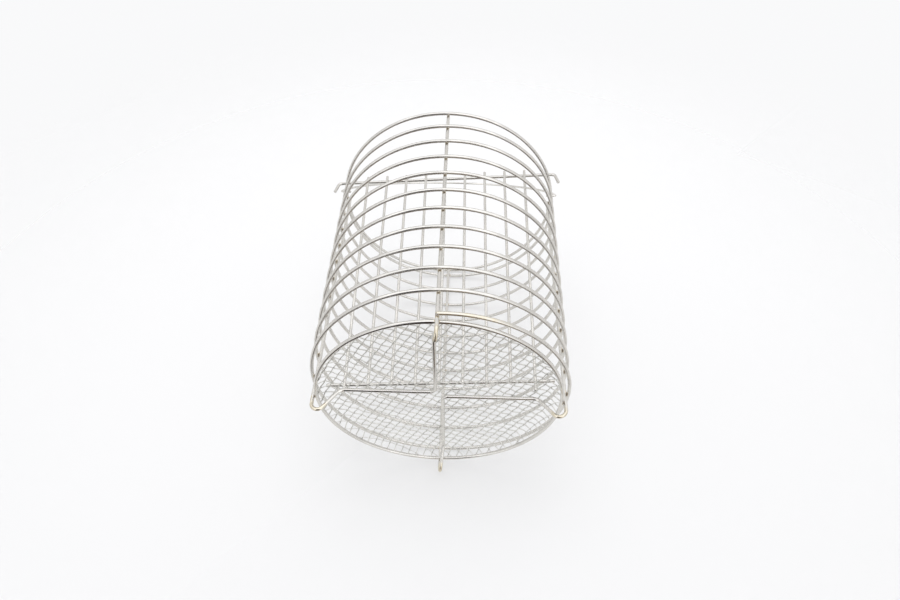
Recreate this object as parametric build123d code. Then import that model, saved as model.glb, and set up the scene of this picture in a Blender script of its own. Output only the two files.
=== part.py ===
from build123d import *
import os
from math import atan2, ceil, cos, degrees, floor, hypot, pi, radians, sin, tan

# Round wire basket for a vertical steam sterilizer, standing on its four feet.
# +Z runs up the basket's axis, and the origin is on the floor between the feet.
# -Y is the front, where the wall coil starts and one foot stands.

# Driving dimensions, in millimetres and degrees
WIRE = 3.0                # wire of the wall, rim, feet, bottom ring and divider bars
COIL_RADIUS = 102.5       # centreline of the wound wall
COIL_TURNS = 10.75        # the coil ends under the rim, at the left upright
COIL_ARCS = 8             # arcs that draw one turn of the coil
RIM_RISE = 234.0          # rim ring above the first turn, centre to centre

FOOT_DROP = 15.1          # first turn above the lowest centreline of the feet
FOOT_BEND = 5.4           # centreline radius of the narrow U under each upright
FOOT_SLOPE = 52.0         # slope of the leg that climbs from the U to the cross run
FOOT_SHOULDER_BEND = 8.0
RUN_RISE = 1.9            # cross runs above the first turn
RUN_OFFSET = 2.9          # cross runs beside the basket's centre lines
RUN_CORNER_BEND = 5.0
UPRIGHT_PAST_RIM = 0.4    # upright ends above the rim ring's centre

RING_DROP = 2.5           # bottom ring below the first turn

MESH_THICK = 1.8          # over the two layers of mesh wire
MESH_WALL = 0.9           # wall between the raised wires
MESH_RIB = 3.0            # width of the strips left between the gaps
MESH_WIRE_WIDTH = 1.2     # width of a raised wire
MESH_FLAT_RADIUS = 90.0   # fold between the flat and the sloping border
MESH_GAP_LIMIT = 87.0     # gaps of the flat stay inside this radius
MESH_ANGLE = 29.0         # direction of the lower wires in plan
MESH_STEPS = 8            # wire spacings from one divider foot to the other
BORDER_GAPS = 40
BORDER_GAP_MARGIN = 0.9   # solid edge left above and below a border gap

DIVIDER_WIRE = 2.5
DIVIDER_COUNT = 9
DIVIDER_PITCH = 19.3
DIVIDER_TURN = 4.6        # bars turned about the basket's axis, right end forward
DIVIDER_LEAN = 7.5        # the top leans forward, the feet stand near the middle
DIVIDER_TOP = (-2.8, -25.0)   # middle of the upper bar in plan
DIVIDER_DROP = 221.8      # lower bar below the upper bar
DIVIDER_TIP = 4.0         # wires stand this far above the upper bar's centre
DIVIDER_TAIL = 1.6        # inner wires end this far below the lower bar's centre
UPPER_BAR_HALF = 106.5    # middle of the upper bar to its hook bends
LOWER_BAR_HALF = 92.5
HOOK_ANGLE = 76.0         # hook tips below the horizontal
HOOK_LENGTH = 12.5
HOOK_BEND = 4.0

BAIL_WIRE = 2.2
BAIL_RADIUS = 106.6       # centreline of the half circle
BAIL_LEG = 4.0            # pivot up to the half circle's centre
BAIL_OFFSET = 11.7        # pivots in front of the left and right uprights
BAIL_LEAN = 34.0          # modelled lean towards the back
BAIL_PIVOT_GAP = 0.3      # running clearance under the rim ring
BAIL_PIVOT_REACH = 97.9   # middle plane to the turned-down ends
BAIL_END = 3.6            # length of the turned-down ends
BAIL_BEND = 2.0

# Heights and radii that follow
COIL_START = FOOT_DROP + WIRE / 2
COIL_PITCH = (RIM_RISE - WIRE) / COIL_TURNS
RIM_HEIGHT = COIL_START + RIM_RISE
UPRIGHT_RADIUS = COIL_RADIUS - WIRE
RING_RADIUS = UPRIGHT_RADIUS - WIRE
RING_HEIGHT = COIL_START - RING_DROP
RUN_HEIGHT = COIL_START + RUN_RISE
MESH_BASE = RUN_HEIGHT + WIRE / 2
MESH_TOP = MESH_BASE + MESH_THICK
MESH_MIDDLE = MESH_BASE + MESH_THICK / 2
UPPER_BAR_HEIGHT = RIM_HEIGHT + WIRE
DIVIDER_OFFSET = (WIRE + DIVIDER_WIRE) / 2
PIVOT_HEIGHT = RIM_HEIGHT - (WIRE + BAIL_WIRE) / 2 - BAIL_PIVOT_GAP


def wire_along(path, diameter):
    """Round wire of one diameter along a path, with square-cut ends."""
    section = Plane(origin=path @ 0, z_dir=path % 0) * Circle(diameter / 2)
    return sweep(section, path=path, is_frenet=True)


def straight_wire(start, end, diameter):
    return wire_along(Line(start, end), diameter)


def coil_point(turns):
    """Centre of the wall's wire, this many turns on from its start at the front."""
    angle = 2 * pi * turns
    height = COIL_START + COIL_PITCH * turns
    return Vector(COIL_RADIUS * sin(angle), -COIL_RADIUS * cos(angle), height)


def coil_path(start, end):
    """Stretch of the right-handed winding as arcs that run on from each other."""
    count = round((end - start) * COIL_ARCS)
    step = (end - start) / count
    arcs = []
    for number in range(count):
        turns = start + number * step
        middle, far = coil_point(turns + step / 2), coil_point(turns + step)
        arcs.append(ThreePointArc(coil_point(turns), middle, far))
    return Wire([edge for arc in arcs for edge in arc.edges()])


def wall_turns():
    """The wound wall, one wire outside the uprights, cut into its turns at the front."""
    turns = {}
    for number in range(ceil(COIL_TURNS)):
        path = coil_path(number, min(number + 1, COIL_TURNS))
        section = Plane(origin=path @ 0, z_dir=path % 0) * Circle(WIRE / 2)
        turn = sweep(section, path=path, transition=Transition.RIGHT)
        turns[f"wall_turn_{number + 1}"] = turn
    return turns


def rim_ring():
    return Pos(0, 0, RIM_HEIGHT) * Torus(COIL_RADIUS, WIRE / 2)


def bottom_ring():
    return Pos(0, 0, RING_HEIGHT) * Torus(RING_RADIUS, WIRE / 2)


def foot_wire():
    """Left upright, left foot, cross runs, front foot and front upright in one wire."""
    slope = radians(FOOT_SLOPE)
    # The U is tangent to the upright, to the floor line and to the sloping leg.
    leg_start_radius = UPRIGHT_RADIUS - FOOT_BEND * (1 + sin(slope))
    leg_start_height = WIRE / 2 + FOOT_BEND * (1 - cos(slope))
    corner_height = leg_start_height - (UPRIGHT_RADIUS - leg_start_radius) * tan(slope)
    shoulder_radius = leg_start_radius - (RUN_HEIGHT - leg_start_height) / tan(slope)
    upright_top = RIM_HEIGHT + UPRIGHT_PAST_RIM
    path = FilletPolyline(
        (-UPRIGHT_RADIUS, 0, upright_top),
        (-UPRIGHT_RADIUS, 0, corner_height),
        (-shoulder_radius, -RUN_OFFSET, RUN_HEIGHT),
        (-RUN_OFFSET, -RUN_OFFSET, RUN_HEIGHT),
        (-RUN_OFFSET, -shoulder_radius, RUN_HEIGHT),
        (0, -UPRIGHT_RADIUS, corner_height),
        (0, -UPRIGHT_RADIUS, upright_top),
        radius=[FOOT_BEND, FOOT_SHOULDER_BEND, RUN_CORNER_BEND, FOOT_SHOULDER_BEND, FOOT_BEND],
    )
    return wire_along(path, WIRE)


class DividerPlane:
    """Places points of the leaning divider: across, down and off its wires' plane."""

    def __init__(self):
        turn, lean = radians(DIVIDER_TURN), radians(DIVIDER_LEAN)
        self.top = Vector(*DIVIDER_TOP, UPPER_BAR_HEIGHT)
        self.across = Vector(cos(turn), -sin(turn), 0)
        self.down = Vector(sin(lean) * sin(turn), sin(lean) * cos(turn), -cos(lean))
        self.front = self.down.cross(self.across)

    def point(self, across, down, forward=0.0):
        return self.top + self.across * across + self.down * down + self.front * forward

    def down_to(self, height):
        """Distance down the slope from the upper bar's centre to a height."""
        return (UPPER_BAR_HEIGHT - height) / cos(radians(DIVIDER_LEAN))


def divider_upper_bar(divider):
    """Bar that lies on the rim, with its ends hooked down outside it."""
    hook_out = HOOK_LENGTH * cos(radians(HOOK_ANGLE))
    hook_down = Vector(0, 0, -HOOK_LENGTH * sin(radians(HOOK_ANGLE)))
    left, right = divider.point(-UPPER_BAR_HALF, 0), divider.point(UPPER_BAR_HALF, 0)
    path = FilletPolyline(
        left - divider.across * hook_out + hook_down,
        left,
        right,
        right + divider.across * hook_out + hook_down,
        radius=HOOK_BEND,
    )
    return wire_along(path, WIRE)


def lower_bar_place(divider):
    return divider.down_to(UPPER_BAR_HEIGHT - DIVIDER_DROP)


def divider_lower_bar(divider):
    down = lower_bar_place(divider)
    return straight_wire(
        divider.point(-LOWER_BAR_HALF, down), divider.point(LOWER_BAR_HALF, down), WIRE
    )


def divider_wire(divider, number):
    """One upright wire; the first and the last reach down and stand on the mesh."""
    across = (number - (DIVIDER_COUNT - 1) / 2) * DIVIDER_PITCH
    if number in (0, DIVIDER_COUNT - 1):
        # The square-cut end leans, so its lower edge is what meets the mesh.
        edge = DIVIDER_WIRE / 2 * sin(radians(DIVIDER_LEAN))
        axis_shift = DIVIDER_OFFSET * divider.front.Z
        bottom = divider.down_to(MESH_TOP + edge - axis_shift)
    else:
        bottom = lower_bar_place(divider) + DIVIDER_TAIL
    return straight_wire(
        divider.point(across, -DIVIDER_TIP, DIVIDER_OFFSET),
        divider.point(across, bottom, DIVIDER_OFFSET),
        DIVIDER_WIRE,
    )


def divider_foot_plan(divider, number):
    """Plan position of a divider foot on the mesh."""
    across = (number - (DIVIDER_COUNT - 1) / 2) * DIVIDER_PITCH
    foot = divider.point(across, divider.down_to(MESH_TOP), DIVIDER_OFFSET)
    return foot.X, foot.Y


def mesh_blank():
    """Shallow upturned dish: a flat disc and a border that slopes down to the ring."""
    slope = Vector(RING_RADIUS - MESH_FLAT_RADIUS, RING_HEIGHT - MESH_MIDDLE).normalized()
    half = MESH_WALL / 2
    side = Vector(-slope.Y, slope.X) * half
    edge = Vector(RING_RADIUS, RING_HEIGHT) - slope * (WIRE / 2)
    outer, inner = edge + side, edge - side
    fold_outer = Vector(MESH_FLAT_RADIUS, MESH_MIDDLE) + side
    fold_inner = Vector(MESH_FLAT_RADIUS, MESH_MIDDLE) - side
    # The faces of the flat and of the border meet on the line that halves the fold.
    run = slope.Y / slope.X
    outer_fold_radius = fold_outer.X + (MESH_MIDDLE + half - fold_outer.Y) / run
    inner_fold_radius = fold_inner.X + (MESH_MIDDLE - half - fold_inner.Y) / run
    section = Polyline(
        (0, 0, MESH_MIDDLE - half),
        (inner_fold_radius, 0, MESH_MIDDLE - half),
        (inner.X, 0, inner.Y),
        (outer.X, 0, outer.Y),
        (outer_fold_radius, 0, MESH_MIDDLE + half),
        (0, 0, MESH_MIDDLE + half),
        close=True,
    )
    return revolve(make_face(section), Axis.Z)


def bottom_mesh(divider):
    """Woven bottom as one wall: raised wires above and below, and square gaps."""
    first = divider_foot_plan(divider, 0)
    last = divider_foot_plan(divider, DIVIDER_COUNT - 1)
    along = Vector(cos(radians(MESH_ANGLE)), sin(radians(MESH_ANGLE)))
    # Both divider feet stand on raised wires of the upper layer.
    span = (last[0] - first[0]) * along.X + (last[1] - first[1]) * along.Y
    pitch = abs(span) / MESH_STEPS
    phase = (first[0] * along.X + first[1] * along.Y) % pitch
    grid = Rot(0, 0, MESH_ANGLE)
    reach = floor(MESH_FLAT_RADIUS / pitch) + 1

    blank = mesh_blank()
    raised = (MESH_THICK - MESH_WALL) / 2
    flat = Pos(0, 0, MESH_MIDDLE) * Cylinder(MESH_FLAT_RADIUS - raised, MESH_THICK)
    upper, lower = [], []
    for line in range(-reach, reach + 1):
        place = line * pitch + phase
        if abs(place) < MESH_FLAT_RADIUS - MESH_RIB:
            upper.append(
                grid * Pos(place, 0, MESH_TOP - raised / 2 - raised / 4)
                * Box(MESH_WIRE_WIDTH, 2 * MESH_FLAT_RADIUS, raised * 1.5)
            )
        place = line * pitch
        if abs(place) < MESH_FLAT_RADIUS - MESH_RIB:
            lower.append(
                grid * Pos(0, place, MESH_BASE + raised / 2 + raised / 4)
                * Box(2 * MESH_FLAT_RADIUS, MESH_WIRE_WIDTH, raised * 1.5)
            )
    wires = [wire & flat for wire in upper + lower]
    wall = blank + wires

    side = pitch - MESH_RIB
    gaps = []
    for column in range(-reach, reach + 1):
        for row in range(-reach, reach + 1):
            x, y = (column + 0.5) * pitch + phase, (row + 0.5) * pitch
            if hypot(abs(x) + side / 2, abs(y) + side / 2) < MESH_GAP_LIMIT:
                gaps.append(grid * Pos(x, y, MESH_MIDDLE) * Box(side, side, 2 * MESH_THICK))
    return wall - gaps - border_gaps()


def border_gaps():
    """Gaps of the sloping border, cut square to its slope all round."""
    slope_run = RING_RADIUS - MESH_FLAT_RADIUS
    slope_fall = MESH_MIDDLE - RING_HEIGHT
    full = hypot(slope_run, slope_fall)
    length = full - WIRE / 2 - 2 * BORDER_GAP_MARGIN
    along = (full - WIRE / 2) / 2 / full
    centre_radius = MESH_FLAT_RADIUS + slope_run * along
    centre_height = MESH_MIDDLE - slope_fall * along
    width = 2 * pi * centre_radius / BORDER_GAPS - MESH_RIB
    tilt = Rot(0, degrees(atan2(slope_fall, slope_run)), 0)
    cutter = Pos(centre_radius, 0, centre_height) * tilt * Box(length, width, 3 * MESH_WALL)
    step = 360 / BORDER_GAPS
    return [Rot(0, 0, step * (number + 0.5)) * cutter for number in range(BORDER_GAPS)]


def bail_handle():
    """Half-round carrying handle, hooked in under the rim from outside."""
    arc_top = BAIL_LEG + BAIL_RADIUS
    side = FilletPolyline(
        (BAIL_PIVOT_REACH, -BAIL_END),
        (BAIL_PIVOT_REACH, 0),
        (BAIL_RADIUS, 0),
        (BAIL_RADIUS, BAIL_LEG),
        radius=BAIL_BEND,
    )
    arc = ThreePointArc((BAIL_RADIUS, BAIL_LEG), (0, arc_top), (-BAIL_RADIUS, BAIL_LEG))
    path = Wire(side.edges() + arc.edges() + mirror(side, Plane.YZ).edges())
    upright = wire_along(Plane.XZ * path, BAIL_WIRE)
    return Pos(0, -BAIL_OFFSET, PIVOT_HEIGHT) * Rot(-BAIL_LEAN, 0, 0) * upright


def build_parts():
    divider = DividerPlane()
    left_front = foot_wire()
    parts = wall_turns() | {
        "rim_ring": rim_ring(),
        "foot_wire_left_front": left_front,
        "foot_wire_right_back": Rot(0, 0, 180) * left_front,
        "bottom_ring": bottom_ring(),
        "bottom_mesh": bottom_mesh(divider),
        "divider_upper_bar": divider_upper_bar(divider),
        "divider_lower_bar": divider_lower_bar(divider),
        "bail_handle": bail_handle(),
    }
    for number in range(DIVIDER_COUNT):
        parts[f"divider_wire_{number + 1}"] = divider_wire(divider, number)
    return parts


os.makedirs("parts", exist_ok=True)
for name, shape in build_parts().items():
    shape.label = name
    export_step(shape, f"parts/{name}.step")
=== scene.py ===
"""Looks of the autoclave basket: bent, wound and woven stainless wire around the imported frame.

Every wire is formed as a wire shop forms it. A ring of points is the wire's section. It is fed
straight by extruding and bent by spinning, the wall is wound by a screw, and the bottom is woven
flat and pressed over its fold. Sizes are in millimetres until a mesh is made.
"""

import logging
import math
from dataclasses import dataclass
from enum import Enum

import bmesh
import bpy
import numpy as np
from mathutils import Matrix, Vector


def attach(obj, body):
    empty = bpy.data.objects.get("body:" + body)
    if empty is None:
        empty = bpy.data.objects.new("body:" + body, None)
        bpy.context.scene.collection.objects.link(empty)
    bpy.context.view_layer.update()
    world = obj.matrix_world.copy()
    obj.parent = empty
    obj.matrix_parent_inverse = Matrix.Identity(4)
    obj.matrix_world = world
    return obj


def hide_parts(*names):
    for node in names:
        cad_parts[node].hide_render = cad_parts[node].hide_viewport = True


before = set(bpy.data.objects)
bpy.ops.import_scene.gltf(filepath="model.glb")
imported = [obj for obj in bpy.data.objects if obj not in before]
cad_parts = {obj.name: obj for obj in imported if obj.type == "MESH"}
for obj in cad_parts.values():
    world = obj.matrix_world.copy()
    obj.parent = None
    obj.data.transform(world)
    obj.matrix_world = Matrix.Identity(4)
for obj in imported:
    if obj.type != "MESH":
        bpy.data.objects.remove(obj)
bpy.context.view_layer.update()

MM = 0.001
WIRE_MAP = "along_wire"
WIRE_SIDES = 14  # points round a thick wire
BEND_STEP = 7.5  # most degrees that one step of a bend turns
CHAMFER = 0.16  # of the wire's radius, at a cut end
EDGE_ANGLE = 35.0  # degrees past which an edge stays sharp
NODE_SPACING = 190
log = logging.getLogger("basket")


class Gauge(Enum):
    """Diameters of the wire stock."""

    FRAME = 3.0
    DIVIDER = 2.5
    BAIL = 2.2
    MESH = 0.9


class Body(Enum):
    """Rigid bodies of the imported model."""

    BASKET = "basket"
    HANDLE = "handle"


class Slot(Enum):
    """Material slots of the record."""

    FRAME = "polished_wire"
    MESH = "woven_mesh"
    DIVIDER = "divider_wire"
    BAIL = "bail_wire"


class TintZone(Enum):
    """Places where welding or bending heat has coloured the steel; on the foot wires also painted
    shade beside the wall wire.
    """

    NONE = "none"
    RINGS = "rings"
    FOOT_WIRES = "foot_wires"
    WALL = "wall"


@dataclass(frozen=True)
class BasketPlan:
    """Driving sizes of the basket, in millimetres and degrees, and the places that follow."""

    wire: float = Gauge.FRAME.value
    coil_radius: float = 102.5
    coil_turns: float = 10.75
    coil_start: float = 16.6
    rim_height: float = 250.6
    foot_bend: float = 5.4
    foot_slope: float = 52.0
    shoulder_bend: float = 8.0
    run_height: float = 18.5
    run_offset: float = 2.9
    run_corner_bend: float = 5.0
    upright_past_rim: float = 0.4
    ring_height: float = 14.1
    weave_pitch: float = 6.5
    weave_turn: float = 29.0

    @property
    def pitch(self) -> float:
        """Climb of one turn of the wall."""
        return (self.rim_height - self.wire - self.coil_start) / self.coil_turns

    @property
    def upright_radius(self) -> float:
        """Plan radius of the uprights, which stand inside the wall."""
        return self.coil_radius - self.wire

    @property
    def ring_radius(self) -> float:
        """Centreline radius of the bottom ring, which sits inside the uprights."""
        return self.upright_radius - self.wire


PLAN = BasketPlan()


# ---------------------------------------------------------------- bench tools


def clear_bench() -> None:
    """Leaves edit mode and selects nothing."""
    if bpy.context.object and bpy.context.object.mode != "OBJECT":
        bpy.ops.object.mode_set(mode="OBJECT")
    bpy.ops.object.select_all(action="DESELECT")


def take_up(piece: bpy.types.Object) -> None:
    """Makes one piece the selected and active object.

    Args:
        piece: the piece.
    """
    clear_bench()
    piece.select_set(True)
    bpy.context.view_layer.objects.active = piece


def settle(piece: bpy.types.Object) -> None:
    """Moves a piece's place and turn into its mesh, so that its object sits at the origin."""
    take_up(piece)
    bpy.ops.object.transform_apply(location=True, rotation=True, scale=True)


def apply_modifiers(piece: bpy.types.Object) -> None:
    """Applies a piece's modifiers in order."""
    take_up(piece)
    for modifier in list(piece.modifiers):
        bpy.ops.object.modifier_apply(modifier=modifier.name)


def ring_of_points(
    name: str,
    gauge: float,
    place: Vector,
    turn: tuple = (0, math.pi / 2, 0),
    sides: int = WIRE_SIDES,
) -> bpy.types.Object:
    """Makes the section of a wire, from which it is drawn.

    Args:
        name: name of the piece.
        gauge: diameter of the wire.
        place: centre of the section, in millimetres.
        turn: its Euler angles; without them the wire leaves along X.
        sides: points round the wire.

    Returns:
        The ring of points, with its object at the origin.
    """
    clear_bench()
    bpy.ops.mesh.primitive_circle_add(
        vertices=sides, radius=gauge / 2 * MM, location=place * MM, rotation=turn
    )
    piece = bpy.context.object
    piece.name = name
    settle(piece)
    return piece


def draw_by_screw(
    piece: bpy.types.Object, steps: int, angle: float = 0.0, climb: float = 0.0, axis: str = "Z"
) -> None:
    """Sweeps a ring of points along a screw.

    Args:
        piece: the ring.
        steps: rings that follow it.
        angle: radians about the axis.
        climb: millimetres along the axis.
        axis: the screw's axis.
    """
    screw = piece.modifiers.new("screw", "SCREW")
    screw.axis = axis
    screw.angle = angle
    screw.screw_offset = climb * MM
    screw.steps = steps
    screw.render_steps = steps
    screw.use_merge_vertices = False
    apply_modifiers(piece)


def join_pieces(name: str, pieces: list[bpy.types.Object]) -> bpy.types.Object:
    """Joins pieces into the first of them.

    Args:
        name: name of the joined piece.
        pieces: what is joined.

    Returns:
        The joined piece.
    """
    clear_bench()
    for piece in pieces:
        piece.select_set(True)
    bpy.context.view_layer.objects.active = pieces[0]
    bpy.ops.object.join()
    pieces[0].name = name
    pieces[0].data.name = name
    return pieces[0]


def select_points(piece: bpy.types.Object, first: int, count: int) -> None:
    """Selects a run of points of the piece in edit mode, and what lies between them.

    Args:
        piece: object in edit mode.
        first: index of the first point.
        count: how many points follow from it.
    """
    bpy.ops.mesh.select_mode(type="VERT")
    bpy.ops.mesh.select_all(action="DESELECT")
    mesh = bmesh.from_edit_mesh(piece.data)
    mesh.verts.ensure_lookup_table()
    for index in range(first, first + count):
        mesh.verts[index].select_set(True)
    mesh.select_flush_mode()
    bmesh.update_edit_mesh(piece.data)


def square_off(piece: bpy.types.Object, first: int, outward: Vector) -> None:
    """Closes a thick wire's cut end with a narrow chamfer and a flat face.

    Args:
        piece: wire in edit mode.
        first: index of the end ring's first point.
        outward: unit vector that leaves the wire at that end.
    """
    select_points(piece, first, WIRE_SIDES)
    mesh = bmesh.from_edit_mesh(piece.data)
    ring = [v.co.copy() for v in mesh.verts if v.select]
    centre = sum(ring, Vector()) / WIRE_SIDES
    chamfer = (ring[0] - centre).length * CHAMFER
    bpy.ops.mesh.extrude_region_move(TRANSFORM_OT_translate={"value": outward * chamfer})
    shrink = (1 - CHAMFER,) * 3
    bpy.ops.transform.resize(value=shrink, center_override=centre + outward * chamfer)
    bpy.ops.mesh.edge_face_add()


def wire_uv(piece: bpy.types.Object, sides: int, lengths: list[float], gauge: float) -> None:
    """Lays a map along a wire: U runs along it and V once round it, at one scale.

    Args:
        piece: wire whose points come in rings, in order.
        sides: points round the wire.
        lengths: distance of each ring from the start, in millimetres.
        gauge: diameter of the wire.
    """
    mesh = piece.data
    layer = mesh.uv_layers.new(name=WIRE_MAP)
    last = len(lengths) - 1
    for face in mesh.polygons:
        spots = [mesh.loops[i].vertex_index for i in face.loop_indices]
        around = [spot % sides for spot in spots]
        seam = max(around) - min(around) > sides / 2
        for loop, spot, step in zip(face.loop_indices, spots, around):
            ring = min(spot // sides, last)
            turn = step + sides if seam and step < sides / 2 else step
            layer.data[loop].uv = (lengths[ring] / (math.pi * gauge), turn / sides)


def finish_wire(piece: bpy.types.Object) -> None:
    """Turns a wire's faces outwards and smooths it, keeping the edges of its cut ends.

    Args:
        piece: the wire.
    """
    take_up(piece)
    bpy.ops.object.mode_set(mode="EDIT")
    bpy.ops.mesh.select_all(action="SELECT")
    bpy.ops.mesh.normals_make_consistent(inside=False)
    bpy.ops.object.mode_set(mode="OBJECT")
    bpy.ops.object.shade_smooth_by_angle(angle=math.radians(EDGE_ANGLE))


class WireBender:
    """A wire former: it feeds a ring of points straight and bends it round a pin."""

    def __init__(self, name: str, gauge: Gauge, start: Vector, heading: Vector) -> None:
        """Cuts the stock.

        Args:
            name: name of the piece.
            gauge: wire stock.
            start: centre of the first cut end, in millimetres.
            heading: direction in which the wire leaves it.
        """
        self.gauge = gauge.value
        self.place = start.copy()
        self.heading = heading.normalized()
        self.first_heading = self.heading.copy()
        self.lengths = [0.0]
        turn = self.heading.to_track_quat("Z", "Y").to_euler()
        self.piece = ring_of_points(name, self.gauge, self.place, turn)
        bpy.ops.object.mode_set(mode="EDIT")
        bpy.ops.mesh.select_all(action="SELECT")

    def feed(self, length: float) -> None:
        """Feeds the wire straight on.

        Args:
            length: how far, in millimetres.
        """
        step = self.heading * length
        bpy.ops.mesh.extrude_region_move(TRANSFORM_OT_translate={"value": step * MM})
        self.place += step
        self.lengths.append(self.lengths[-1] + length)

    def bend(self, pin: Vector, axis: Vector, turn: float) -> None:
        """Bends the wire round a pin.

        Args:
            pin: a point on the pin's axis, level with the wire.
            axis: direction of the pin, so that the turn is positive about it.
            turn: radians.
        """
        steps = max(3, math.ceil(math.degrees(turn) / BEND_STEP))
        bpy.ops.mesh.spin(steps=steps, dupli=False, angle=-turn, center=pin * MM, axis=axis)
        arm = self.place - pin
        rotation = Matrix.Rotation(turn, 3, axis)
        for _ in range(steps):
            self.lengths.append(self.lengths[-1] + arm.length * turn / steps)
        self.place = pin + rotation @ arm
        self.heading = rotation @ self.heading

    def follow(self, corners: list[Vector], radii: list[float]) -> None:
        """Forms the wire along straight runs with an arc at each corner.

        Args:
            corners: points after the start, in millimetres; the last is the far end.
            radii: centreline radius of each bend.
        """
        for corner, after, radius in zip(corners, corners[1:], radii):
            leaving = (after - corner).normalized()
            turn = self.heading.angle(leaving)
            setback = radius * math.tan(turn / 2)
            self.feed((corner - self.place).length - setback)
            axis = self.heading.cross(leaving).normalized()
            self.bend(self.place + axis.cross(self.heading) * radius, axis, turn)
        self.feed((corners[-1] - self.place).length)

    def cut(self) -> bpy.types.Object:
        """Cuts the wire off.

        Returns:
            The finished wire.
        """
        last = (len(self.lengths) - 1) * WIRE_SIDES
        square_off(self.piece, last, self.heading)
        square_off(self.piece, 0, -self.first_heading)
        bpy.ops.object.mode_set(mode="OBJECT")
        wire_uv(self.piece, WIRE_SIDES, self.lengths, self.gauge)
        finish_wire(self.piece)
        return self.piece


# ---------------------------------------------------------------- finishes


Socket = bpy.types.NodeSocket
Sockets = bpy.types.bpy_prop_collection
Colour = tuple[float, float, float, float]


class NodeBench:
    """Adds and links nodes of one tree, left to right."""

    def __init__(self, tree: bpy.types.NodeTree) -> None:
        """Takes the tree to work on."""
        self.tree = tree
        self.count = 0

    @classmethod
    def cleared(cls, block: bpy.types.Material | bpy.types.World) -> "NodeBench":
        """Empties the nodes of a material or world.

        Args:
            block: the material or world.

        Returns:
            A bench for its tree.
        """
        block.use_nodes = True
        block.node_tree.nodes.clear()
        return cls(block.node_tree)

    def add(self, kind: str, inputs: dict | None = None, **settings) -> bpy.types.Node:
        """Adds a node.

        Args:
            kind: Blender's name of the node type.
            inputs: socket name or number to a value or to the socket that feeds it.
            **settings: properties of the node.

        Returns:
            The node.
        """
        node = self.tree.nodes.new(kind)
        node.location = (self.count * NODE_SPACING, 0)
        self.count += 1
        for key, value in settings.items():
            setattr(node, key, value)
        for key, value in (inputs or {}).items():
            if isinstance(value, Socket):
                self.tree.links.new(value, node.inputs[key])
            else:
                node.inputs[key].default_value = value
        return node

    def math(self, operation: str, *values: float | Socket) -> Socket:
        """Adds a Math node and returns its output."""
        return self.add("ShaderNodeMath", dict(enumerate(values)), operation=operation).outputs[0]

    def times(self, first: Socket, second: float | Socket) -> Socket:
        """Multiplies two values and returns the output."""
        return self.math("MULTIPLY", first, second)

    def larger(self, first: Socket, second: Socket) -> Socket:
        """Takes the larger of two values and returns the output."""
        return self.math("MAXIMUM", first, second)

    def axes(self, place: Socket) -> Sockets:
        """Splits a vector and returns the sockets X, Y and Z."""
        return self.add("ShaderNodeSeparateXYZ", {"Vector": place}).outputs

    def length(self, place: Socket) -> Socket:
        """Measures a vector and returns the output."""
        return self.add("ShaderNodeVectorMath", {0: place}, operation="LENGTH").outputs["Value"]

    def stretched(self, place: Socket, scale: tuple[float, float, float]) -> Socket:
        """Scales a vector axis by axis and returns the output."""
        return self.add("ShaderNodeMapping", {"Vector": place, "Scale": scale}).outputs[0]

    def ramp(
        self, value: Socket, low: float, high: float, start: float = 0.0, end: float = 1.0
    ) -> Socket:
        """Maps a value smoothly from one range to another.

        Args:
            value: what is mapped.
            low: where the first range starts.
            high: where it ends.
            start: result up to low.
            end: result from high on.

        Returns:
            The result.
        """
        ranges = {"From Min": low, "From Max": high, "To Min": start, "To Max": end}
        inputs = {"Value": value, **ranges}
        node = self.add("ShaderNodeMapRange", inputs, interpolation_type="SMOOTHSTEP")
        return node.outputs["Result"]

    def mix(self, amount: Socket, first: Colour | Socket, second: Colour | Socket) -> Socket:
        """Mixes two colours and returns the output."""
        inputs = {0: amount, 6: first, 7: second}
        return self.add("ShaderNodeMix", inputs, data_type="RGBA").outputs[2]

    def noise(self, place: Socket, scale: float | Socket, detail: float, rough: float) -> Socket:
        """Adds a noise texture and returns its output."""
        inputs = {"Vector": place, "Scale": scale, "Detail": detail, "Roughness": rough}
        return self.add("ShaderNodeTexNoise", inputs).outputs["Fac"]

    def group(self, tree: bpy.types.NodeTree, inputs: dict) -> Sockets:
        """Adds one of the shared effects and returns its outputs."""
        return self.add("ShaderNodeGroup", inputs, node_tree=tree).outputs


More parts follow.
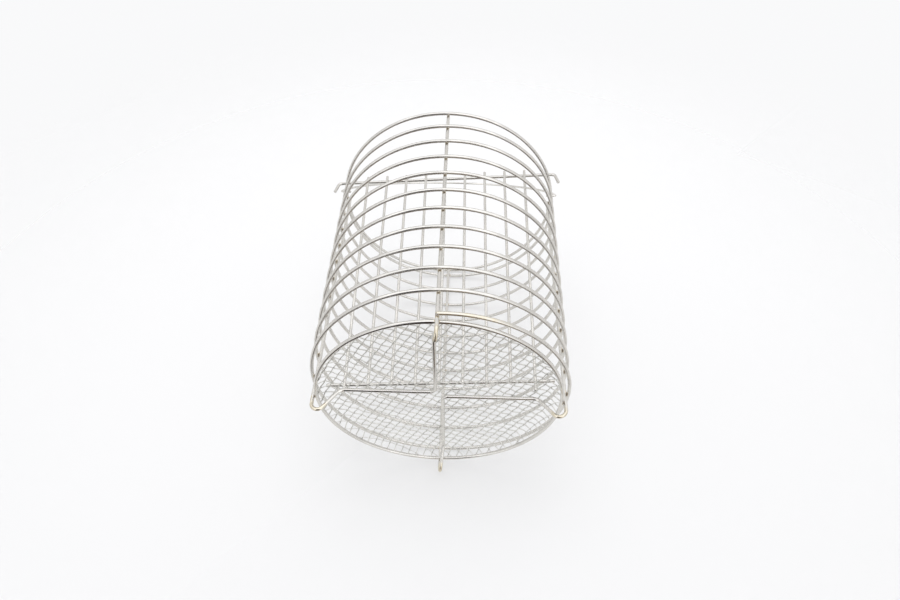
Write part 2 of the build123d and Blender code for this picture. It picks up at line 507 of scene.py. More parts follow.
class NodeGroups:
    """The shared effects, each built once as a group with named sockets."""

    def __init__(self) -> None:
        """Builds the groups."""
        self.drawn_grain = self._drawn_grain()
        self.handling = self._handling()
        self.heat_and_shade_colour = self._heat_and_shade_colour()

    @staticmethod
    def _open(
        name: str, number: str, default: float, outputs: dict[str, str]
    ) -> tuple[NodeBench, Sockets]:
        """Starts a group that takes a vector and one number.

        Args:
            name: name of the group.
            number: name of the number.
            default: its value where nothing feeds it.
            outputs: name of each output to its kind of socket.

        Returns:
            The group's bench and what its input node gives.
        """
        tree = bpy.data.node_groups.new(name, "ShaderNodeTree")
        sockets = tree.interface
        sockets.new_socket(name="Vector", in_out="INPUT", socket_type="NodeSocketVector")
        factor = sockets.new_socket(name=number, in_out="INPUT", socket_type="NodeSocketFloat")
        factor.default_value = default
        for label, kind in outputs.items():
            sockets.new_socket(name=label, in_out="OUTPUT", socket_type=f"NodeSocket{kind}")
        bench = NodeBench(tree)
        return bench, bench.add("NodeGroupInput").outputs

    def _drawn_grain(self) -> bpy.types.NodeTree:
        """Returns fine die lines along the wire, with a few deeper scores."""
        outputs = {"Lines": "Float", "Height": "Float"}
        bench, source = self._open("drawn_grain", "Fineness", 1.0, outputs)
        narrow = bench.stretched(source["Vector"], (0.06, 9.0, 1.0))
        lines = bench.noise(narrow, source["Fineness"], 5.0, 0.62)
        wide = bench.stretched(source["Vector"], (0.02, 2.6, 1.0))
        scores = bench.ramp(bench.noise(wide, 3.0, 2.0, 0.5), 0.62, 0.72)
        height = bench.math("SUBTRACT", lines, bench.times(scores, 0.6))
        bench.add("NodeGroupOutput", {"Lines": lines, "Height": height})
        return bench.tree

    def _handling(self) -> bpy.types.NodeTree:
        """Returns the cloudy film and small specks that use and steam leave on steel."""
        bench, source = self._open("handling", "Scale", 60.0, {"Film": "Float", "Specks": "Float"})
        cloud = bench.noise(source["Vector"], source["Scale"], 4.0, 0.58)
        film = bench.ramp(cloud, 0.38, 0.66)
        grains = bench.noise(source["Vector"], 900.0, 2.0, 0.6)
        specks = bench.times(bench.ramp(grains, 0.66, 0.74), film)
        bench.add("NodeGroupOutput", {"Film": film, "Specks": specks})
        return bench.tree

    def _heat_and_shade_colour(self) -> bpy.types.NodeTree:
        """Returns temper colours: straw at the edge of a heated place, umber in it, also used as
        painted shade.
        """
        outputs = {"Colour": "Color", "Mask": "Float"}
        bench, source = self._open("heat_and_shade_colour", "Heat and shade", 0.0, outputs)
        patches = bench.noise(source["Vector"], 170.0, 3.0, 0.6)
        uneven = bench.ramp(patches, 0.3, 0.7, 0.62, 1.12)
        heat = bench.times(source["Heat and shade"], uneven)
        ramp = bench.add("ShaderNodeValToRGB", {"Fac": heat})
        steps = [
            (0.0, (0.76, 0.74, 0.69, 1)),
            (0.3, (0.72, 0.67, 0.56, 1)),
            (0.55, (0.54, 0.47, 0.36, 1)),
            (0.8, (0.20, 0.16, 0.12, 1)),
            (1.0, (0.05, 0.045, 0.04, 1)),
        ]
        while len(ramp.color_ramp.elements) < len(steps):
            ramp.color_ramp.elements.new(0.5)
        for element, (place, colour) in zip(ramp.color_ramp.elements, steps):
            element.position = place
            element.color = colour
        mask = bench.ramp(heat, 0.04, 0.3)
        bench.add("NodeGroupOutput", {"Colour": ramp.outputs["Color"], "Mask": mask})
        return bench.tree


@dataclass(frozen=True)
class SteelFinish:
    """Bright drawn stainless wire, with its grain, film, specks and heat tints, and painted shade
    on the uprights beside the wall wire.
    """

    name: str
    slot: Slot
    colour: tuple[float, float, float] = (0.74, 0.73, 0.71)
    roughness: float = 0.16
    grain: float = 14.0
    grain_depth: float = 0.012
    grain_strength: float = 0.35
    streaks: float = 0.16
    film: float = 0.12
    film_cover: float = 0.8
    film_shade: float = 0.88
    speck_cover: float = 0.45
    zone: TintZone = TintZone.NONE
    mapped: bool = True

    def _foot_heat_and_shade(self, bench: NodeBench, axes: Sockets, reach: Socket) -> Socket:
        """Tints the bends of the feet with heat, and darkens the uprights' outer side beside the
        wall wire: partly weld tint, partly painted shade under the wire.

        Args:
            bench: nodes of the material.
            axes: the place's X, Y and Z.
            reach: its distance from the basket's axis.

        Returns:
            The heat tint and painted shade, from 0 to 1.
        """
        low = bench.ramp(axes["Z"], 2 * MM, 15 * MM, 0.42, 0.0)
        bends = bench.times(low, bench.ramp(reach, 82 * MM, 91 * MM))
        bearing = bench.math("ARCTAN2", axes["X"], bench.times(axes["Y"], -1.0))
        climb = bench.times(bearing, PLAN.pitch / math.tau * MM)
        above = bench.math("SUBTRACT", axes["Z"], bench.math("ADD", climb, PLAN.coil_start * MM))
        away = bench.math("PINGPONG", above, PLAN.pitch / 2 * MM)
        touch = PLAN.upright_radius * MM
        outer = bench.ramp(reach, touch, touch + 1.0 * MM)
        # painted shade: the uprights darken next to each wall turn, partly weld tint, partly the
        # shade under the wire
        wall_weld_and_shade = bench.ramp(away, 1.6 * MM, 3.2 * MM, 0.5, 0.0)
        return bench.larger(bends, bench.times(wall_weld_and_shade, outer))

    def _heat_and_shade(self, bench: NodeBench, place: Socket) -> Socket:
        """Works out how hot each point once was, with painted shade beside the wall wire on the
        foot wires.

        Args:
            bench: nodes of the material.
            place: object coordinates, in metres.

        Returns:
            The heat, with the foot wires' painted shade, from 0 to 1.
        """
        axes = bench.axes(place)
        flat = bench.add("ShaderNodeCombineXYZ", {"X": axes["X"], "Y": axes["Y"]}).outputs[0]
        reach = bench.length(flat)
        if self.zone is TintZone.FOOT_WIRES:
            return self._foot_heat_and_shade(bench, axes, reach)
        sides = [bench.math("ABSOLUTE", axes[name]) for name in ("X", "Y")]
        near_upright = bench.math("MINIMUM", *sides)
        weld = bench.ramp(near_upright, 1.0 * MM, 2.8 * MM, 0.9, 0.0)
        wall = PLAN.coil_radius * MM
        if self.zone is TintZone.RINGS:
            ring = bench.ramp(reach, PLAN.ring_radius * MM, (PLAN.ring_radius + 1.1) * MM)
            rim = bench.ramp(reach, wall - 1.1 * MM, wall)
            return bench.times(weld, bench.math("SUBTRACT", ring, rim))
        inner = bench.ramp(reach, wall - 1.1 * MM, wall - 0.3 * MM, 1.0, 0.0)
        weld = bench.times(weld, inner)
        start = (20 * MM, -wall, PLAN.coil_start * MM)
        away = bench.add("ShaderNodeVectorMath", {0: place, 1: start}, operation="DISTANCE")
        near_start = bench.ramp(away.outputs["Value"], 12 * MM, 60 * MM, 0.28, 0.0)
        ceiling = (PLAN.coil_start + PLAN.pitch / 2) * MM
        first_turn = bench.math("LESS_THAN", axes["Z"], ceiling)
        return bench.larger(weld, bench.times(near_start, first_turn))

    def _stain_and_shade(self, bench: NodeBench, place: Socket, steel: Socket, groups: NodeGroups) -> Socket:
        """Lays the heat tints, and the foot wires' painted shade, over the steel's colour.

        Args:
            bench: nodes of the material.
            place: object coordinates, in metres.
            steel: the clean colour.
            groups: the shared effects.

        Returns:
            The tinted colour, with painted shade on the foot wires.
        """
        if self.zone is TintZone.NONE:
            return steel
        inputs = {"Vector": place, "Heat and shade": self._heat_and_shade(bench, place)}
        tint = bench.group(groups.heat_and_shade_colour, inputs)
        return bench.mix(tint["Mask"], steel, tint["Colour"])

    def material(self, groups: NodeGroups) -> bpy.types.Material:
        """Builds the material.

        Args:
            groups: the shared effects.

        Returns:
            The material.
        """
        material = bpy.data.materials.new(self.name)
        bench = NodeBench.cleared(material)
        along = place = bench.add("ShaderNodeTexCoord").outputs["Object"]
        if self.mapped:
            along = bench.add("ShaderNodeUVMap", uv_map=WIRE_MAP).outputs["UV"]
        grain = bench.group(groups.drawn_grain, {"Vector": along, "Fineness": self.grain})
        handling = bench.group(groups.handling, {"Vector": place})
        film, specks = handling["Film"], handling["Specks"]

        dull = tuple(self.film_shade * channel for channel in self.colour)
        steel = bench.mix(bench.times(film, self.film_cover), (*self.colour, 1), (*dull, 1))
        steel = bench.mix(bench.times(specks, self.speck_cover), steel, (0.34, 0.30, 0.25, 1))
        steel = self._stain_and_shade(bench, place, steel, groups)

        streaks = bench.times(grain["Lines"], self.streaks)
        cloud = bench.times(film, self.film)
        ground = self.roughness - self.streaks / 2
        rough = bench.math("ADD", bench.math("ADD", streaks, cloud), ground)
        depth = {"Strength": self.grain_strength, "Distance": self.grain_depth * MM}
        bump = bench.add("ShaderNodeBump", {"Height": grain["Height"], **depth}).outputs["Normal"]
        surface = {"Base Color": steel, "Metallic": 1.0, "Roughness": rough, "Normal": bump}
        shader = bench.add("ShaderNodeBsdfPrincipled", surface)
        bench.add("ShaderNodeOutputMaterial", {"Surface": shader.outputs["BSDF"]})
        return material


@dataclass(frozen=True)
class WovenFinish(SteelFinish):
    """Fine woven wire: duller, with painted shade where the wires cross."""

    # strength of the painted shade at the crossings
    crossing_shade: float = 0.3

    def _stain_and_shade(self, bench: NodeBench, place: Socket, steel: Socket, groups: NodeGroups) -> Socket:
        """Paints shade into the crossings, darkest where the wires meet.

        Args:
            bench: nodes of the material.
            place: object coordinates, in metres.
            steel: the clean colour.
            groups: the shared effects; not used.

        Returns:
            The colour with painted shade at the crossings.
        """
        turn = (0, 0, -math.radians(PLAN.weave_turn))
        turned = bench.add("ShaderNodeMapping", {"Vector": place, "Rotation": turn}).outputs[0]
        axes = bench.axes(turned)
        half = PLAN.weave_pitch / 2 * MM
        spans = [
            bench.math("PINGPONG", bench.math("ABSOLUTE", axes[name]), half) for name in ("X", "Y")
        ]
        # painted shade: darker where the warp and weft wires cross
        crossing_shade = bench.ramp(bench.math("ADD", *spans), 0.4 * MM, 1.2 * MM, self.crossing_shade, 0.0)
        return bench.mix(crossing_shade, steel, (0.16, 0.15, 0.13, 1))


# ---------------------------------------------------------------- sub-assemblies


@dataclass
class SubAssembly:
    """Pieces of one finish, built with the shared effects and handed to the frame."""

    finish: SteelFinish
    groups: NodeGroups

    def __post_init__(self) -> None:
        """Mixes the finish."""
        self.material = self.finish.material(self.groups)

    def place_piece(
        self,
        piece: bpy.types.Object,
        nodes: list[str],
        body: Body = Body.BASKET,
        slot: Slot | None = None,
    ) -> None:
        """Dresses a piece and hands it to the frame.

        Args:
            piece: the formed piece.
            nodes: nodes of the frame that it stands for.
            body: rigid body that it moves with.
            slot: the record's slot, if it isn't the finish's own; not used.
        """
        clear_bench()
        piece.data.materials.clear()
        piece.data.materials.append(self.material)
        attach(piece, body.value)
        if nodes:
            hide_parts(*nodes)
        log.info("%s: %d faces, on %s", piece.name, len(piece.data.polygons), body.value)


@dataclass
class WallCoil(SubAssembly):
    """The wall: one wire wound as a right-handed helix outside the uprights."""

    steps_per_turn: int = 96

    def build(self) -> None:
        """Winds and dresses the wire."""
        steps = round(self.steps_per_turn * PLAN.coil_turns)
        climb = PLAN.pitch * PLAN.coil_turns
        turned = math.tau * PLAN.coil_turns
        start = Vector((0, -PLAN.coil_radius, PLAN.coil_start))
        piece = ring_of_points("wound_wall", PLAN.wire, start)
        draw_by_screw(piece, steps, turned, climb)
        bpy.ops.object.mode_set(mode="EDIT")
        lift = Vector((0, 0, climb / turned))
        last_heading = (Vector((0, -PLAN.coil_radius, 0)) + lift).normalized()
        first_heading = (Vector((PLAN.coil_radius, 0, 0)) + lift).normalized()
        square_off(piece, steps * WIRE_SIDES, last_heading)
        square_off(piece, 0, -first_heading)
        bpy.ops.object.mode_set(mode="OBJECT")
        step_length = math.hypot(PLAN.coil_radius * turned, climb) / steps
        lengths = [step_length * number for number in range(steps + 1)]
        wire_uv(piece, WIRE_SIDES, lengths, PLAN.wire)
        finish_wire(piece)
        turns = [f"wall_turn_{number + 1}" for number in range(math.ceil(PLAN.coil_turns))]
        self.place_piece(piece, turns)


@dataclass
class Rings(SubAssembly):
    """Rim ring and bottom ring, each rolled from one wire and butt-welded."""

    around: int = 160

    def build(self) -> None:
        """Rolls and dresses both rings."""
        jobs = [
            ("rolled_rim", "rim_ring", PLAN.coil_radius, PLAN.rim_height),
            ("rolled_bottom_ring", "bottom_ring", PLAN.ring_radius, PLAN.ring_height),
        ]
        for name, node, radius, height in jobs:
            piece = ring_of_points(name, PLAN.wire, Vector((0, -radius, height)))
            draw_by_screw(piece, self.around, math.tau)
            step_length = math.tau * radius / self.around
            lengths = [step_length * number for number in range(self.around + 1)]
            wire_uv(piece, WIRE_SIDES, lengths, PLAN.wire)
            bpy.ops.object.mode_set(mode="EDIT")
            bpy.ops.mesh.select_all(action="SELECT")
            bpy.ops.mesh.remove_doubles(threshold=0.01 * MM)
            bpy.ops.object.mode_set(mode="OBJECT")
            finish_wire(piece)
            self.place_piece(piece, [node])


@dataclass
class FootWires(SubAssembly):
    """The two bent wires that are the uprights, the four feet and the cross runs."""

    def _corners(self) -> list[Vector]:
        """Returns the corners of the left and front wire, from the top of its left upright."""
        slope = math.radians(PLAN.foot_slope)
        reach = PLAN.upright_radius
        leg_radius = reach - PLAN.foot_bend * (1 + math.sin(slope))
        leg_height = PLAN.wire / 2 + PLAN.foot_bend * (1 - math.cos(slope))
        corner = leg_height - (reach - leg_radius) * math.tan(slope)
        shoulder = leg_radius - (PLAN.run_height - leg_height) / math.tan(slope)
        top = PLAN.rim_height + PLAN.upright_past_rim
        side, run = PLAN.run_offset, PLAN.run_height
        return [
            Vector((-reach, 0, top)),
            Vector((-reach, 0, corner)),
            Vector((-shoulder, -side, run)),
            Vector((-side, -side, run)),
            Vector((-side, -shoulder, run)),
            Vector((0, -reach, corner)),
            Vector((0, -reach, top)),
        ]

    def build(self) -> None:
        """Bends and dresses both wires."""
        foot, shoulder, corner = PLAN.foot_bend, PLAN.shoulder_bend, PLAN.run_corner_bend
        radii = [foot, shoulder, corner, shoulder, foot]
        corners = self._corners()
        for side, half_turn in (("left_front", 0.0), ("right_back", math.pi)):
            spin = Matrix.Rotation(half_turn, 3, "Z")
            placed = [spin @ point for point in corners]
            bender = WireBender(f"bent_foot_{side}", Gauge.FRAME, placed[0], Vector((0, 0, -1)))
            bender.follow(placed[1:], radii)
            self.place_piece(bender.cut(), [f"foot_wire_{side}"])


@dataclass
class WovenBottom(SubAssembly):
    """The bottom: plain-woven fine wire, pressed over a fold down to the bottom ring."""

    fold_radius: float = 90.0
    fold_round: float = 1.6
    middle_height: float = 20.9
    end_inset: float = 0.5
    samples: int = 4
    sides: int = 8

    @property
    def slope(self) -> float:
        """Fall of the border for each unit outwards."""
        return (self.middle_height - PLAN.ring_height) / (PLAN.ring_radius - self.fold_radius)

    def _blank(self, length: float) -> bpy.types.Object:
        """Draws one straight fine wire, closed at both ends.

        Args:
            length: its length.

        Returns:
            The wire, along X and centred on the origin.
        """
        start = Vector((-length / 2, 0, 0))
        piece = ring_of_points("blank", Gauge.MESH.value, start, sides=self.sides)
        steps = max(4, round(length / PLAN.weave_pitch * self.samples))
        draw_by_screw(piece, steps, climb=length, axis="X")
        lengths = [length * number / steps for number in range(steps + 1)]
        wire_uv(piece, self.sides, lengths, Gauge.MESH.value)
        bpy.ops.object.mode_set(mode="EDIT")
        for first in (0, steps * self.sides):
            select_points(piece, first, self.sides)
            bpy.ops.mesh.edge_face_add()
        bpy.ops.object.mode_set(mode="OBJECT")
        return piece

    def _fall(self, radius: np.ndarray) -> tuple[np.ndarray, np.ndarray]:
        """Works out how far the cloth falls past the fold.

        Args:
            radius: distances from the axis.

        Returns:
            The fall, and the local slope from 0 on the flat to the full slope of the border.
        """
        past = (radius - self.fold_radius) / self.fold_round
        run = np.logaddexp(0, past) * self.fold_round
        share = (1 + np.tanh(past / 2)) / 2
        return run * self.slope, share * self.slope

    def _weave(self, piece: bpy.types.Object, line: int, lengthwise: bool) -> None:
        """Lays a straight blank into the cloth: over and under, then pressed over the fold.

        Args:
            piece: the blank, along X.
            line: which wire of its family it is, counted from the middle.
            lengthwise: True for the wires that run at the weave's own turn.
        """
        count = len(piece.data.vertices)
        points = np.empty(count * 3)
        piece.data.vertices.foreach_get("co", points)
        points = points.reshape(-1, 3) / MM
        travel, side, lift = points.T
        wave = np.cos(np.pi * (travel / PLAN.weave_pitch + line)) * Gauge.MESH.value / 2
        if not lengthwise:
            wave = -wave
        turn = math.radians(PLAN.weave_turn + (0 if lengthwise else 90))
        ahead = np.array([math.cos(turn), math.sin(turn)])
        beside = np.array([-math.sin(turn), math.cos(turn)]) * (1 if lengthwise else -1)
        centre = travel[:, None] * ahead + line * PLAN.weave_pitch * beside
        radius = np.linalg.norm(centre, axis=1)
        fall, slope = self._fall(radius)
        outward = centre / np.maximum(radius, 1e-6)[:, None]
        tilt = np.arctan(slope)
        height = wave + lift
        plan = centre + side[:, None] * beside + outward * (np.sin(tilt) * height)[:, None]
        level = self.middle_height - fall + np.cos(tilt) * height
        formed = np.column_stack([plan, level]) * MM
        piece.data.vertices.foreach_set("co", formed.ravel())
        piece.data.update()

    def _family(self, name: str, lengthwise: bool) -> bpy.types.Object:
        """Weaves all wires that run one way.

        Args:
            name: name of the joined piece.
            lengthwise: which of the two ways.

        Returns:
            The joined wires.
        """
        edge = PLAN.ring_radius - self.end_inset
        reach = int(edge / PLAN.weave_pitch)
        wires = []
        for line in range(-reach, reach + 1):
            half = math.sqrt(edge**2 - (line * PLAN.weave_pitch) ** 2)
            wire = self._blank(2 * half)
            self._weave(wire, line, lengthwise)
            wires.append(wire)
        return join_pieces(name, wires)

    def build(self) -> None:
        """Weaves and dresses the bottom."""
        families = [self._family("warp", True), self._family("weft", False)]
        piece = join_pieces("woven_bottom", families)
        finish_wire(piece)
        self.place_piece(piece, ["bottom_mesh"])


@dataclass
class DividerPlan:
    """The loose grid's sizes, and the plane in which it leans across the basket."""

    count: int = 9
    pitch: float = 19.3
    turn: float = 4.6
    lean: float = 7.5
    top: tuple[float, float] = (-2.8, -25.0)
    drop: float = 221.8

    def __post_init__(self) -> None:
        """Works out the directions of the leaning plane."""
        turn, lean = math.radians(self.turn), math.radians(self.lean)
        self.origin = Vector((*self.top, PLAN.rim_height + PLAN.wire))
        self.across = Vector((math.cos(turn), -math.sin(turn), 0))
        level = math.sin(lean)
        self.down = Vector((level * math.sin(turn), level * math.cos(turn), -math.cos(lean)))
        self.front = self.down.cross(self.across)
        self.lower_bar = self.drop / math.cos(lean)

    def point(self, across: float, down: float, forward: float = 0.0) -> Vector:
        """Returns a point of the leaning plane, in the row frame."""
        return self.origin + self.across * across + self.down * down + self.front * forward

    def wire_place(self, number: int) -> float:
        """Returns where a wire stands along the bars, from their middle."""
        return (number - (self.count - 1) / 2) * self.pitch


DIVIDER = DividerPlan()


def straight_wire(name: str, gauge: Gauge, start: Vector, end: Vector) -> bpy.types.Object:
    """Cuts a straight wire.

    Args:
        name: name of the piece.
        gauge: wire stock.
        start: centre of its first end.
        end: centre of its far end.

    Returns:
        The wire.
    """
    bender = WireBender(name, gauge, start, end - start)
    bender.follow([end], [])
    return bender.cut()


@dataclass
class DividerBars(SubAssembly):
    """The divider's bars: the upper one lies on the rim and hooks down outside it."""

    upper_half: float = 106.5
    lower_half: float = 92.5
    hook_angle: float = 76.0
    hook_length: float = 12.5
    hook_bend: float = 4.0

    def build(self) -> None:
        """Bends the upper bar, cuts the lower one, and dresses both."""
        angle = math.radians(self.hook_angle)
        out = DIVIDER.across * (self.hook_length * math.cos(angle))
        fall = Vector((0, 0, -self.hook_length * math.sin(angle)))
        left, right = DIVIDER.point(-self.upper_half, 0), DIVIDER.point(self.upper_half, 0)
        tips = left - out + fall, right + out + fall
        bender = WireBender("hooked_upper_bar", Gauge.FRAME, tips[0], left - tips[0])
        bender.follow([left, right, tips[1]], [self.hook_bend, self.hook_bend])
        self.place_piece(bender.cut(), ["divider_upper_bar"])
        halves = (-self.lower_half, self.lower_half)
        ends = [DIVIDER.point(half, DIVIDER.lower_bar) for half in halves]
        self.place_piece(straight_wire("lower_bar", Gauge.FRAME, *ends), ["divider_lower_bar"])


@dataclass
class DividerWires(SubAssembly):
    """The divider's upright wires; the outer two reach down to the woven bottom."""

    tip: float = 4.0
    tail: float = 1.6
    foot_height: float = 21.8

    def build(self) -> None:
        """Cuts and dresses all the wires."""
        offset = (PLAN.wire + Gauge.DIVIDER.value) / 2
        lean = math.radians(DIVIDER.lean)
        edge = Gauge.DIVIDER.value / 2 * math.sin(lean)
        rise = self.foot_height + edge - offset * DIVIDER.front.z
        standing = (DIVIDER.origin.z - rise) / math.cos(lean)
        hanging = DIVIDER.lower_bar + self.tail
        for number in range(DIVIDER.count):
            bottom = standing if number in (0, DIVIDER.count - 1) else hanging
            across = DIVIDER.wire_place(number)
            ends = [DIVIDER.point(across, down, offset) for down in (-self.tip, bottom)]
            wire = straight_wire(f"grid_wire_{number + 1}", Gauge.DIVIDER, *ends)
            self.place_piece(wire, [f"divider_wire_{number + 1}"])


@dataclass
class BailHandle(SubAssembly):
    """The swinging handle: a half-round wire hooked in under the rim."""

    radius: float = 106.6
    leg: float = 4.0
    offset: float = 11.7
    lean: float = 34.0
    gap: float = 0.3
    reach: float = 97.9
    end: float = 3.6
    bend: float = 2.0

    def _point(self, across: float, rise: float) -> Vector:
        """Finds a point of the handle's leaning plane.

        Args:
            across: distance from the middle.
            rise: distance up from the pivot, in the plane.

        Returns:
            The point, in the row frame.
        """
        lean = math.radians(self.lean)
        pivot_height = PLAN.rim_height - (PLAN.wire + Gauge.BAIL.value) / 2 - self.gap
        up = Vector((0, math.sin(lean), math.cos(lean)))
        return Vector((across, -self.offset, pivot_height)) + up * rise

    def build(self) -> None:
        """Bends and dresses the handle."""
        ends = [(self.reach, -self.end), (self.reach, 0), (self.radius, 0)]
        start, inner, foot = (self._point(-across, rise) for across, rise in ends)
        top, centre = self._point(-self.radius, self.leg), self._point(0, self.leg)
        bender = WireBender("bent_bail", Gauge.BAIL, start, inner - start)
        bender.follow([inner, foot, top], [self.bend, self.bend])
        axis = (top - centre).cross(bender.heading).normalized()
        bender.bend(centre, axis, math.pi)
        far_side = [self._point(across, rise) for across, rise in reversed(ends)]
        bender.follow(far_side, [self.bend, self.bend])
        self.place_piece(bender.cut(), ["bail_handle"], Body.HANDLE)


@dataclass
class WeldBeads(SubAssembly):
    """The small squashed beads of the resistance welds, wherever two wires cross."""

    length: float = 1.5
    width: float = 1.25
    depth: float = 0.8

    def _bead(self, place: Vector, along: Vector, through: Vector) -> bpy.types.Object:
        """Makes one bead.

        Args:
            place: where the two wires touch.
            along: direction of the longer side.
            through: direction from one wire to the other.

        Returns:
            The bead.
        """
        clear_bench()
        bpy.ops.mesh.primitive_ico_sphere_add(subdivisions=2, radius=1.0)
        bead = bpy.context.object
        size = Vector((self.length, self.width, self.depth)) * MM
        bead.data.transform(Matrix.Diagonal((*size, 1)))
        across = through.cross(along).normalized()
        lengthwise = across.cross(through).normalized()
        turned = Matrix((lengthwise, across, through.normalized())).transposed()
        bead.data.transform(turned.to_4x4())
        bead.data.transform(Matrix.Translation(place * MM))
        return bead

    def _wall_welds(self) -> list[tuple[Vector, Vector, Vector]]:
        """Lists the welds of the wall, the rim and the bottom ring on the four uprights.

        Returns:
            Place, upright's direction and outward direction of each.
        """
        up = Vector((0, 0, 1))
        below_rim = PLAN.rim_height - PLAN.wire + 0.1
        welds = []
        for quarter in range(4):
            angle = math.radians(90 * quarter - 90)
            out = Vector((math.cos(angle), math.sin(angle), 0))
            touch = out * (PLAN.upright_radius + PLAN.wire / 2)
            turns = [quarter / 4 + turn for turn in range(math.ceil(PLAN.coil_turns))]
            heights = [PLAN.coil_start + PLAN.pitch * turn for turn in turns]
            heights = [PLAN.rim_height] + [height for height in heights if height < below_rim]
            welds += [(touch + up * height, up, out) for height in heights]
            inner = out * (PLAN.upright_radius - PLAN.wire / 2)
            welds.append((inner + up * PLAN.ring_height, up, out))
        return welds

    def _divider_welds(self) -> list[tuple[Vector, Vector, Vector]]:
        """Lists the welds of the divider's wires on its two bars."""
        touch = PLAN.wire / 2
        return [
            (DIVIDER.point(DIVIDER.wire_place(number), down, touch), DIVIDER.down, DIVIDER.front)
            for number in range(DIVIDER.count)
            for down in (0.0, DIVIDER.lower_bar)
        ]

    def build(self) -> None:
        """Makes and dresses all beads."""
        jobs = [
            ("wall_welds", self._wall_welds(), Slot.FRAME),
            ("divider_welds", self._divider_welds(), Slot.DIVIDER),
        ]
        for name, welds, slot in jobs:
            piece = join_pieces(name, [self._bead(*weld) for weld in welds])
            take_up(piece)
            bpy.ops.object.shade_smooth()
            self.place_piece(piece, [], slot=slot)


# ---------------------------------------------------------------- studio


@dataclass(frozen=True)
class Viewpoint:
    """Where the camera stands, in millimetres, and its lens."""

    place: tuple[float, float, float] = (17.77, -460.79, -281.56)
    right: tuple[float, float, float] = (0.99952, -0.00046, 0.03082)
    up: tuple[float, float, float] = (-0.02360, -0.65479, 0.75543)
    lens: float = 27.527
    sensor: float = 36.0

    def build(self) -> None:
        """Makes the camera and puts it in use."""
        data = bpy.data.cameras.new("viewpoint")
        data.lens = self.lens
        data.sensor_width = self.sensor
        data.sensor_fit = "HORIZONTAL"
        data.clip_start = 0.01
        data.clip_end = 50
        camera = bpy.data.objects.new("viewpoint", data)
        bpy.context.scene.collection.objects.link(camera)
        right, up = Vector(self.right), Vector(self.up)
        back = right.cross(up).normalized()
        up = back.cross(right).normalized()
        turn = Matrix((right.normalized(), up, back)).transposed().to_4x4()
        camera.matrix_world = Matrix.Translation(Vector(self.place) * MM) @ turn
        bpy.context.scene.camera = camera


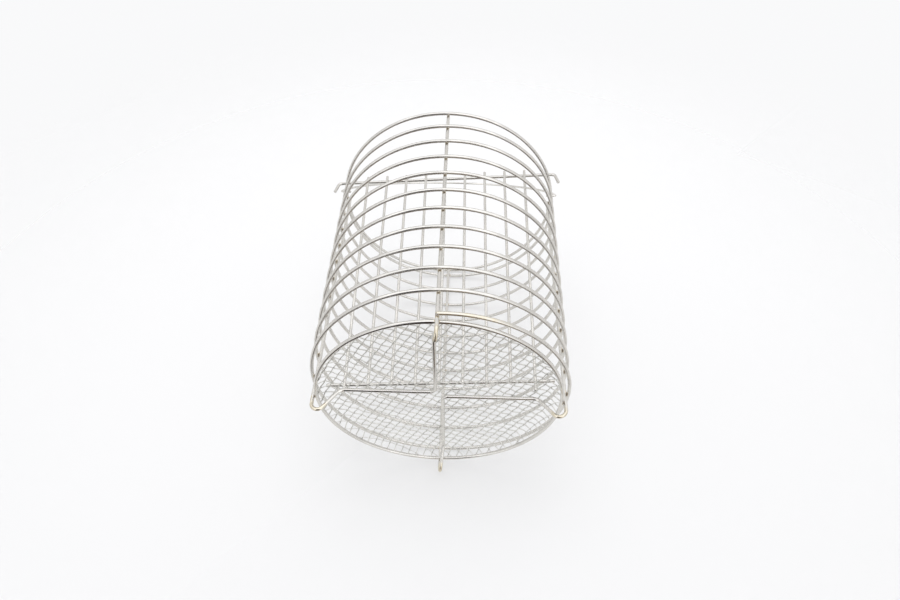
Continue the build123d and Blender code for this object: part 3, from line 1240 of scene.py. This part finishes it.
@dataclass
class Studio:
    """Pale surroundings: one-sided patches of floor and backdrop, soft lamps and the world."""

    patch: float = 2.4
    fade_from: float = 0.28
    fade_to: float = 0.75
    lift: float = 0.36
    backdrop_at: float = 0.1046
    glow_size: float = 2.4
    glow_foot: float = -0.16
    glow_near: float = 0.13
    glow_far: float = 0.19
    matt: Colour = (0.77, 0.77, 0.78, 1)
    pale: Colour = (0.95, 0.95, 0.955, 1)
    glow: Colour = (0.88, 0.87, 0.85, 1)
    white: Colour = (0.948, 0.950, 0.958, 1)
    fill: Colour = (0.90, 0.90, 0.90, 1)
    walls: Colour = (0.88, 0.865, 0.845, 1)
    bright: Colour = (1.5, 1.49, 1.48, 1)
    gap_left: Colour = (0.018, 0.006, 0.009, 1)
    gap_right: Colour = (0.20, 0.14, 0.08, 1)

    def _finish_sheet(self, bench: NodeBench, front: Socket, ray: str, far: Socket) -> None:
        """Shows a sheet from its front alone, to one kind of ray, and clears it far away.

        Args:
            bench: nodes of the sheet's material.
            front: shader of its front.
            ray: the kind of ray, as the Light Path node names it.
            far: rises to 1 where the sheet is clear.
        """
        behind = bench.add("ShaderNodeNewGeometry").outputs["Backfacing"]
        seen = bench.add("ShaderNodeLightPath").outputs[ray]
        hidden = bench.larger(bench.math("SUBTRACT", 1.0, seen), far)
        clear = bench.larger(behind, hidden)
        through = bench.add("ShaderNodeBsdfTransparent").outputs[0]
        mixed = bench.add("ShaderNodeMixShader", {0: clear, 1: front, 2: through}).outputs[0]
        bench.add("ShaderNodeOutputMaterial", {"Surface": mixed})

    def _sheet(self, name: str, size: float, place: tuple, turn: tuple) -> NodeBench:
        """Lays one flat sheet of the stage.

        Args:
            name: name of the sheet and of its material.
            size: its side, in metres.
            place: its middle, in metres.
            turn: its Euler angles.

        Returns:
            A bench for its material.
        """
        clear_bench()
        bpy.ops.mesh.primitive_plane_add(size=size, location=place, rotation=turn)
        piece = bpy.context.object
        piece.name = name
        material = bpy.data.materials.new(name)
        piece.data.materials.append(material)
        return NodeBench.cleared(material)

    def _patch(self, name: str, place: tuple, turn: tuple) -> None:
        """Lays a matt white patch that only the camera sees and that fades out.

        Args:
            name: name of the patch.
            place: its middle, in metres.
            turn: its Euler angles.
        """
        bench = self._sheet(name, self.patch, place, turn)
        away = bench.length(bench.add("ShaderNodeTexCoord").outputs["Object"])
        far = bench.ramp(away, self.fade_from, self.fade_to)
        matt = bench.add("ShaderNodeBsdfDiffuse", {"Color": self.matt}).outputs[0]
        pale = bench.add("ShaderNodeEmission", {"Color": self.pale}).outputs[0]
        front = bench.add("ShaderNodeMixShader", {0: self.lift, 1: matt, 2: pale}).outputs[0]
        self._finish_sheet(bench, front, "Is Camera Ray", far)

    def _table_glow(self) -> None:
        """Stands a white sheet behind the basket that only steel near to it mirrors.

        It lets longer rays through, so that wires high above the table mirror the room.
        """
        place = (0, self.backdrop_at, self.glow_foot + self.glow_size / 2)
        bench = self._sheet("table_glow", self.glow_size, place, (math.pi / 2, 0, 0))
        distance = bench.add("ShaderNodeLightPath").outputs["Ray Length"]
        far = bench.ramp(distance, self.glow_near, self.glow_far)
        glow = bench.add("ShaderNodeEmission", {"Color": self.glow}).outputs[0]
        self._finish_sheet(bench, glow, "Is Glossy Ray", far)

    def _world(self) -> None:
        """Makes the room: a bright sheet in front and a dark gap past the table's near edge.

        Only the steel mirrors the gap, which is browner to the right.
        """
        world = bpy.data.worlds.new("studio")
        bpy.context.scene.world = world
        bench = NodeBench.cleared(world)
        axes = bench.axes(bench.add("ShaderNodeTexCoord").outputs["Generated"])
        beside = bench.math("ABSOLUTE", axes["X"])
        forward = bench.ramp(axes["Y"], -0.2, 0.3, 1.0, 0.0)
        low = bench.ramp(axes["Z"], 0.44, 0.63, 1.0, 0.0)
        ahead = bench.times(forward, bench.ramp(beside, 0.6, 0.8, 1.0, 0.0))
        sheet = bench.times(ahead, low)
        room = bench.mix(sheet, self.walls, self.bright)
        side = bench.ramp(axes["X"], -0.04, 0.02)
        depth = bench.math("SUBTRACT", axes["Y"], bench.times(side, 0.3))
        below_table = bench.ramp(depth, -0.84, -0.62)
        in_front = bench.ramp(axes["Z"], 0.15, 0.45, 1.0, 0.0)
        aside = bench.math("ABSOLUTE", bench.math("ADD", axes["X"], 0.07))
        middle = bench.ramp(aside, 0.28, 0.45, 1.0, 0.0)
        gap = bench.times(bench.times(below_table, in_front), middle)
        room = bench.mix(gap, room, bench.mix(side, self.gap_left, self.gap_right))
        path = bench.add("ShaderNodeLightPath").outputs
        seen = bench.mix(path["Is Glossy Ray"], self.fill, room)
        seen = bench.mix(path["Is Camera Ray"], seen, self.white)
        background = bench.add("ShaderNodeBackground", {"Color": seen})
        bench.add("ShaderNodeOutputWorld", {"Surface": background.outputs[0]})

    def _lamp(self, name: str, place: tuple, size: float, watts: float) -> None:
        """Hangs one square soft lamp that faces the basket and isn't mirrored in it.

        Args:
            name: name of the lamp.
            place: where it hangs, in metres.
            size: its side.
            watts: its power.
        """
        data = bpy.data.lights.new(name, "AREA")
        data.shape = "SQUARE"
        data.size = size
        data.energy = watts
        lamp = bpy.data.objects.new(name, data)
        bpy.context.scene.collection.objects.link(lamp)
        lamp.visible_glossy = False
        target = Vector((0, 0, 0.13))
        lamp.location = place
        lamp.rotation_euler = (target - lamp.location).to_track_quat("-Z", "Y").to_euler()

    def build(self) -> None:
        """Sets up the stage, the lamps, the world and the view transform."""
        self._patch("floor", (0, 0, 0), (0, 0, 0))
        self._patch("backdrop", (0, self.backdrop_at, 0.1), (math.pi / 2, 0, 0))
        self._lamp("front_softbox", (-0.08, -1.35, 0.35), 1.1, 9.6)
        self._lamp("top_softbox", (0.35, -0.25, 1.5), 0.9, 5.5)
        self._table_glow()
        self._world()
        bpy.context.scene.view_settings.view_transform = "Standard"


# ---------------------------------------------------------------- assembly


def main() -> None:
    """Builds the basket's looks in order."""
    logging.basicConfig(level=logging.INFO, format="%(name)s %(message)s")
    Viewpoint().build()
    groups = NodeGroups()
    wall = SteelFinish("wall_steel", Slot.FRAME, zone=TintZone.WALL)
    rings = SteelFinish("ring_steel", Slot.FRAME, zone=TintZone.RINGS)
    feet = SteelFinish("foot_steel", Slot.FRAME, zone=TintZone.FOOT_WIRES)
    cloth = WovenFinish("woven_steel", Slot.MESH, (0.82, 0.82, 0.80), 0.5, grain=8.0)
    grid = SteelFinish("grid_steel", Slot.DIVIDER, (0.68, 0.67, 0.65))
    bars = SteelFinish("bar_steel", Slot.DIVIDER, (0.72, 0.71, 0.69))
    bail = SteelFinish("bail_steel", Slot.BAIL, (0.76, 0.75, 0.73))
    beads = SteelFinish(
        "weld_steel", Slot.FRAME, (0.36, 0.33, 0.30), 0.42, film=0.3, mapped=False
    )
    jobs = [
        (WallCoil, wall),
        (Rings, rings),
        (FootWires, feet),
        (WovenBottom, cloth),
        (DividerBars, bars),
        (DividerWires, grid),
        (BailHandle, bail),
        (WeldBeads, beads),
    ]
    for assembly, finish in jobs:
        assembly(finish, groups).build()
    Studio().build()
    clear_bench()


if __name__ == "__main__":
    main()
